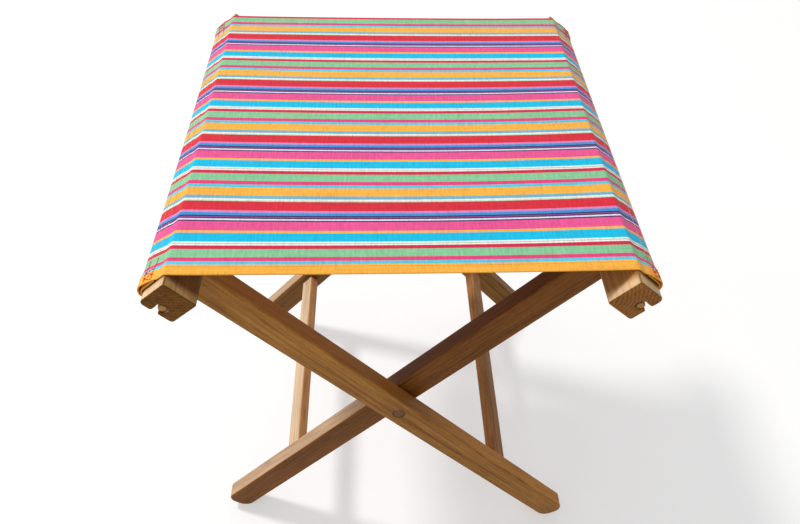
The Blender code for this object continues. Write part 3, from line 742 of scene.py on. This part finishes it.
def canvas_half(name, side, mat):
    """One half of the canvas.

    Returns the object, the points of its upper side as a grid, and how far each column of the grid lies from
    the front edge.
    """
    outline = section()
    y, lift = outline[:, 1], outline[:, 2]
    half = CANVAS_WIDTH / 2
    depth = half - np.abs(y)
    hem = smooth_step((2.0 * HEM - depth) / HEM)
    corner_x, corner_z = -SEAT_SPAN / 2, CORNER_HEIGHT
    share = 1 - np.linspace(0.0, 1.0, SEAT_STEPS + 1)[:-1]
    columns = []
    loose_front, loose_back = LOOSE[side]
    forward = np.clip((LOOSE_FROM - y / half) / (1 + LOOSE_FROM), 0.0, 1.0)
    looseness = loose_back + (loose_front - loose_back) * forward**2
    for amount, loose in zip(hem, looseness):
        down = pocket(amount, loose)
        x = corner_x + down[:, 0] * AWAY.x + down[:, 1] * UPPER.x
        z = corner_z + down[:, 0] * AWAY.z + down[:, 1] * UPPER.z
        seat_x = x[0] * (1 - share)
        ride_up = (z[0] - (corner_z + FLAT_RISE)) * (1 - share)[:, None] ** 3
        seat_z = corner_z + FLAT_RISE + ride_up[:, 0]
        columns.append(np.stack([np.concatenate([seat_x, x]), np.concatenate([seat_z, z])], axis=1))
    path = np.stack(columns, axis=1)                    # steps x outline x (x, z)
    tangent = np.gradient(path, axis=0)
    tangent /= np.linalg.norm(tangent, axis=2)[:, :, None]
    # Turning the tangent a quarter towards the outside of the sling gives the cloth's upper side.
    normal = np.stack([tangent[:, :, 1], -tangent[:, :, 0]], axis=2)
    place = path + normal * lift[None, :, None]
    x, z = place[:, :, 0], place[:, :, 1]
    slack = np.clip(1 - (x / corner_x) ** 2, 0.0, 1.0)
    edge = np.abs(y)[None, :] / half
    taut = smooth_step((y - half + TAUT_BACK) / TAUT_BACK)[None, :]
    z = z - SAG * slack * (MIDDLE_SAG + (1 - MIDDLE_SAG) * edge**2) * (1 - taut)
    beside = np.exp(-(((np.abs(x) - RIPPLE_AT) / RIPPLE_REACH) ** 2)) * (np.abs(x) < -corner_x)
    z = z + RIPPLE * np.sin(y[None, :] / RIPPLE_LENGTH + RIPPLE_PHASE * side) * beside
    pull = PULL * slack * edge**6
    room_y = (y + BACK_REACH / 2)[None, :] * np.ones_like(x) - np.sign(y)[None, :] * pull
    lean = SKEW * np.clip(0.5 - side * x / SEAT_SPAN, 0.0, 1.0)
    room_y = room_y + lean * np.clip(-y / half, 0.0, 1.0)[None, :] ** 1.5
    fading = smooth_step((half - y - BOW_BACK[0]) / (BOW_BACK[1] - BOW_BACK[0]))
    bowed = BOW[side] * smooth_step((half + y) / BOW_FRONT) * fading
    room_y = room_y + bowed[None, :] * np.minimum(x / corner_x, 1.0) ** 2
    grid = np.stack([x * -side, room_y, z], axis=2)
    piece = swept_mesh(name, side, grid, path, outline[:, 0], mat)
    flat = [j for j in range(len(y) // 2) if abs(lift[j] - THICKNESS / 2) < 0.01 * MM]
    return piece, grid[:, flat], outline[flat, 0]


def swept_mesh(name, side, grid, path, v, mat):
    """Closes the swept outline into one mesh, with its u and v along the cloth in metres."""
    steps, count = grid.shape[:2]
    verts = grid.reshape(-1, 3)
    faces = []
    for i in range(steps - 1):
        for j in range(count):
            k = (j + 1) % count
            face = (i * count + j, i * count + k, (i + 1) * count + k, (i + 1) * count + j)
            faces.append(face if side < 0 else face[::-1])
    half_count = count // 2
    for i in (0, steps - 1):
        for j in range(half_count - 1):
            face = (i * count + j, i * count + j + 1, i * count + count - 2 - j, i * count + count - 1 - j)
            faces.append(face if (i == 0) == (side > 0) else face[::-1])
    mesh = bpy.data.meshes.new(name)
    mesh.from_pydata(verts.tolist(), [], faces)
    u = run_length(path[:, count // 4, :])
    cloth = np.stack([np.repeat(u * side, count), np.tile(v, steps)], axis=1)
    layer = mesh.uv_layers.new(name=UV_NAME)
    corners = np.zeros(len(mesh.loops), np.int32)
    mesh.loops.foreach_get("vertex_index", corners)
    layer.data.foreach_set("uv", cloth[corners].astype(np.float32).ravel())
    mesh.materials.append(mat)
    mesh.shade_smooth()
    mesh.set_sharp_from_angle(angle=math.radians(50.0))
    mesh.update()
    return placed(name, mesh)


# ---------------------------------------------------------------------------------------------------------
# Stitches

THREAD_RADIUS = 0.24 * MM
TACK_RADIUS = 0.42 * MM
HEM_RADIUS = 0.15 * MM
STITCH_SIDES = 6
STITCH_PITCH = 3.3 * MM
STITCH_SHARE = 0.70                # of the pitch that a stitch covers
STITCH_ROWS = {-1: (-14.0 * MM, -22.0 * MM), 1: (-19.0 * MM, -26.0 * MM)}   # across each rail
TACK = np.array([1.2, 4.2, 7.2, 10.2, 13.2]) * MM   # the zigzag's corners, from the front or back edge
TACK_ROW_END = 26.0 * MM           # the pocket's rows are in the tack's thread as far as this
HEM_ROW = 8.4 * MM                 # the hem's row, from its edge
HEM_START = 0.15                   # path index of its first stitch, just off the middle of the seat
# One stitch: places along it, as shares of its length from its middle, and how far each stands off the cloth,
# in thread radii.
STATIONS = np.array([-0.5, -0.3, 0.0, 0.3, 0.5])
RISES = np.array([-0.5, 0.35, 0.7, 0.35, -0.5])
WALK_POINTS = 40                   # along a run, to measure it
TWIST = (2600.0, 6200.0, 3400.0)   # radians per metre along each axis


def thread(name, colour):
    """Twisted cotton thread."""
    made, tree, shader = new_material(name)
    coords = node(tree, "ShaderNodeTexCoord").outputs["Object"]
    fuzz = object_noise(tree, 2400.0)
    twist = vector_calc(tree, "DOT_PRODUCT", coords, TWIST, output="Value")
    ply = calc(tree, "ABSOLUTE", calc(tree, "SINE", twist))
    # The darker grooves between the plies are painted shade; the fuzz is the thread's own uneven tone.
    tone = calc(tree, "MULTIPLY_ADD", ply, 0.5, calc(tree, "MULTIPLY", fuzz, 0.5))
    colour = ramp(tree, tone, [(0.0, scaled(colour, 0.62)), (1.0, colour)])
    tree.links.new(colour, shader.inputs["Base Color"])
    bump = node(tree, "ShaderNodeBump", {"Strength": 0.4, "Distance": 0.1 * MM, "Height": ply})
    tree.links.new(bump.outputs["Normal"], shader.inputs["Normal"])
    shader.inputs["Roughness"].default_value = 0.7
    shader.inputs["Specular IOR Level"].default_value = 0.3
    return made


def surface(grid, steps, index, cloth_v):
    """The place on the canvas's upper side at a path index and a distance from the front edge."""
    column = np.interp(cloth_v, steps, np.arange(len(steps)))
    i, j = min(int(index), grid.shape[0] - 2), min(int(column), grid.shape[1] - 2)
    s, t = index - i, column - j
    lower_edge = grid[i, j] * (1 - t) + grid[i, j + 1] * t
    upper_edge = grid[i + 1, j] * (1 - t) + grid[i + 1, j + 1] * t
    return lower_edge * (1 - s) + upper_edge * s


def outward(grid, steps, index, cloth_v, side):
    """The canvas's outer normal there."""
    here = surface(grid, steps, index, cloth_v)
    down = surface(grid, steps, index + 0.3, cloth_v) - here
    back = surface(grid, steps, index, cloth_v + 1.0 * MM) - here
    normal = np.cross(down, back) * side
    return normal / np.linalg.norm(normal)


def on_run(run, share):
    """The path index and the distance from the front edge at a share of a run."""
    return tuple(first + (last - first) * share for first, last in zip(*run))


def stitches(name, side, grid, steps, runs, radius, mat):
    """Thread along runs on the canvas. A run is two ends, (path index, distance from the front edge)."""
    verts, faces = [], []
    turns = np.linspace(0.0, 2 * math.pi, STITCH_SIDES + 1)[:-1]
    walk_shares = np.linspace(0.0, 1.0, WALK_POINTS)
    for run in runs:
        walk = np.array([surface(grid, steps, *on_run(run, share)) for share in walk_shares])
        lengths = run_length(walk)
        count = max(1, round(lengths[-1] / STITCH_PITCH))
        for stitch in range(count):
            stops = (stitch + 0.5 + STATIONS * STITCH_SHARE) / count
            shares = np.interp(stops * lengths[-1], lengths, walk_shares)
            normals = [outward(grid, steps, *on_run(run, share), side) for share in shares]
            points = np.array([
                surface(grid, steps, *on_run(run, share)) + normal * rise * radius
                for share, normal, rise in zip(shares, normals, RISES)
            ])
            starts = [len(verts) + i * STITCH_SIDES for i in range(len(points))]
            for point, normal, tangent in zip(points, normals, np.gradient(points, axis=0)):
                sideways = np.cross(tangent, normal)
                sideways /= np.linalg.norm(sideways)
                raised = np.cross(sideways, tangent) / np.linalg.norm(tangent)
                for turn in turns:
                    verts.append(point + radius * (math.cos(turn) * sideways + math.sin(turn) * raised))
            rings = [range(start, start + STITCH_SIDES) for start in starts]
            for low, high in zip(rings, rings[1:]):
                for k in range(STITCH_SIDES):
                    after = (k + 1) % STITCH_SIDES
                    faces.append((low[k], low[after], high[after], high[k]))
            faces.append(tuple(reversed(rings[0])))
            faces.append(tuple(rings[-1]))
    mesh = bpy.data.meshes.new(name)
    mesh.from_pydata([tuple(vert) for vert in verts], [], faces)
    mesh.materials.append(mat)
    mesh.shade_smooth()
    mesh.update()
    return placed(name, mesh)


CANVAS = canvas_material()
CORAL = thread("coral_thread", linear(246, 88, 50))
ROSE = thread("rose_thread", linear(252, 172, 142))
AMBER = thread("amber_thread", linear(255, 190, 84))
BLEND_START = SEAT_SPAN / 2
for side, side_name, bodies, ends in (
    (-1, "left", ("outer_frame", "seat_and_pivots"), (-BLEND_START, 0.0)),
    (1, "right", ("seat_and_pivots", "inner_frame"), (0.0, BLEND_START)),
):
    piece, grid, steps = canvas_half(f"canvas_{side_name}", side, CANVAS)
    rows = [pocket_index(across) for across in STITCH_ROWS[side]]
    row_runs = [((row, TACK_ROW_END), (row, CANVAS_WIDTH - TACK_ROW_END)) for row in rows]
    row_stitches = stitches(f"pocket_stitches_{side_name}", side, grid, steps, row_runs, THREAD_RADIUS, ROSE)
    tack_runs = []
    for near_end, inner_end in ((TACK, TACK_ROW_END), (CANVAS_WIDTH - TACK, CANVAS_WIDTH - TACK_ROW_END)):
        zigzag = [(rows[index % 2], cloth_v) for index, cloth_v in enumerate(near_end)]
        tack_runs += list(zip(zigzag, zigzag[1:]))
        tack_runs += [((row, near_end[0]), (row, inner_end)) for row in rows]
    tack_stitches = stitches(f"tack_stitches_{side_name}", side, grid, steps, tack_runs, TACK_RADIUS, CORAL)
    hem_end = pocket_index(STEP_START)
    hem_runs = [((HEM_START, cloth_v), (hem_end, cloth_v)) for cloth_v in (HEM_ROW, CANVAS_WIDTH - HEM_ROW)]
    hem_stitches = stitches(f"hem_stitches_{side_name}", side, grid, steps, hem_runs, HEM_RADIUS, AMBER)
    threads = [row_stitches, tack_stitches, hem_stitches]
    for cloth in (piece, *threads):
        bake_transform(cloth)
    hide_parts("canvas_panel", f"canvas_pocket_{side_name}")
    cut = (CANVAS_WIDTH + 2 * HEM, BLEND_START + run_length(pocket(0.0, LOOSE[side][1]))[-1])


# ---------------------------------------------------------------------------------------------------------
# Room, light and camera

FLOOR_REACH = 9.0
FLOOR_TONES = (0.58, 0.60)
FLOOR_GLOW, FLOOR_SEEN = 0.30, 0.44   # as a light, and as the camera sees it
DOME_BRIGHTEST = Vector((-0.60, 0.35, 0.72)).normalized()
DOME_GLOW, DOME_RISE = 0.14, 0.62  # its strength where it is darkest, and what its brightest side adds
DOME_SEEN = 0.92                   # as the camera sees it
WINDOW = {
    "place": (-2.9, 2.08, 5.12), "target": (0.0, 0.0, 0.3), "size": 1.0, "power": 222.0,
    "colour": (1.0, 0.99, 0.97),
}
# The camera was fitted to the photograph's edges.
EYE = Vector((-0.0213, -0.6005, 0.8808))
LOOK_DOWN = math.radians(47.605)
LOOK_RIGHT = math.radians(3.146)
ROLL = math.radians(2.007)
LENS, SENSOR = 32.46, 36.0         # in millimetres, as Blender takes them
SHIFT = (-0.0057, 0.0433)          # in sensor widths


def lit_or_seen(tree, lit, seen):
    """A strength for the light that falls on things, and another for what the camera sees directly."""
    camera_ray = node(tree, "ShaderNodeLightPath").outputs["Is Camera Ray"]
    chosen = node(tree, "ShaderNodeMapRange", {"Value": camera_ray, "To Min": lit, "To Max": seen})
    return chosen.outputs["Result"]


def floor():
    made, tree, shader = new_material("pale_floor")
    darker, paler = FLOOR_TONES
    tone = ramp(tree, object_noise(tree, 3.0, detail=3.0), [(0.3, grey(darker)), (0.7, grey(paler))])
    tree.links.new(tone, shader.inputs["Base Color"])
    shader.inputs["Emission Color"].default_value = (1.0, 1.0, 1.0, 1.0)
    tree.links.new(lit_or_seen(tree, FLOOR_GLOW, FLOOR_SEEN), shader.inputs["Emission Strength"])
    shader.inputs["Roughness"].default_value = 0.9
    shader.inputs["Specular IOR Level"].default_value = 0.1
    mesh = bpy.data.meshes.new("floor")
    corners = [(x * FLOOR_REACH, y * FLOOR_REACH, 0) for x, y in ((-1, -1), (1, -1), (1, 1), (-1, 1))]
    mesh.from_pydata(corners, [], [(0, 1, 2, 3)])
    mesh.materials.append(made)
    obj = placed("floor", mesh)


def area_light(name, place, target, size, power, colour):
    lamp = bpy.data.lights.new(name, "AREA")
    lamp.shape = "DISK"
    lamp.size = size
    lamp.energy = power
    lamp.color = colour
    obj = placed(name, lamp)
    obj.location = place
    obj.rotation_euler = (Vector(target) - Vector(place)).to_track_quat("-Z", "Y").to_euler()


def world():
    """A soft dome, brightest towards the upper left and the back, as beside a large window."""
    made = bpy.data.worlds.new("studio")
    made.use_nodes = True
    tree = made.node_tree
    background = tree.nodes["Background"]
    direction = node(tree, "ShaderNodeTexCoord").outputs["Generated"]
    facing = vector_calc(tree, "DOT_PRODUCT", direction, tuple(DOME_BRIGHTEST), output="Value")
    glow = calc(tree, "MULTIPLY_ADD", between(tree, facing, -0.4, 1.0), DOME_RISE, DOME_GLOW)
    background.inputs["Color"].default_value = (1.0, 1.0, 1.0, 1.0)
    tree.links.new(lit_or_seen(tree, glow, DOME_SEEN), background.inputs["Strength"])
    bpy.context.scene.world = made


def camera():
    """The eye is in front of the stool and above it, looking down and a little to the right."""
    data = bpy.data.cameras.new("camera")
    data.lens = LENS
    data.sensor_width = SENSOR
    data.shift_x, data.shift_y = SHIFT
    data.clip_start = 50.0 * MM
    obj = placed("camera", data)
    level_reach = math.cos(LOOK_DOWN)
    forward = Vector((
        math.sin(LOOK_RIGHT) * level_reach, math.cos(LOOK_RIGHT) * level_reach, -math.sin(LOOK_DOWN),
    ))
    level = Vector((math.cos(LOOK_RIGHT), -math.sin(LOOK_RIGHT), 0.0))
    raised = level.cross(forward)
    right = level * math.cos(ROLL) + raised * math.sin(ROLL)
    up = raised * math.cos(ROLL) - level * math.sin(ROLL)
    matrix = Matrix((right, up, -forward)).transposed().to_4x4()
    matrix.translation = EYE
    obj.matrix_world = matrix
    bpy.context.scene.camera = obj


floor()
world()
area_light("window", **WINDOW)
camera()
bpy.context.scene.view_settings.view_transform = "Standard"
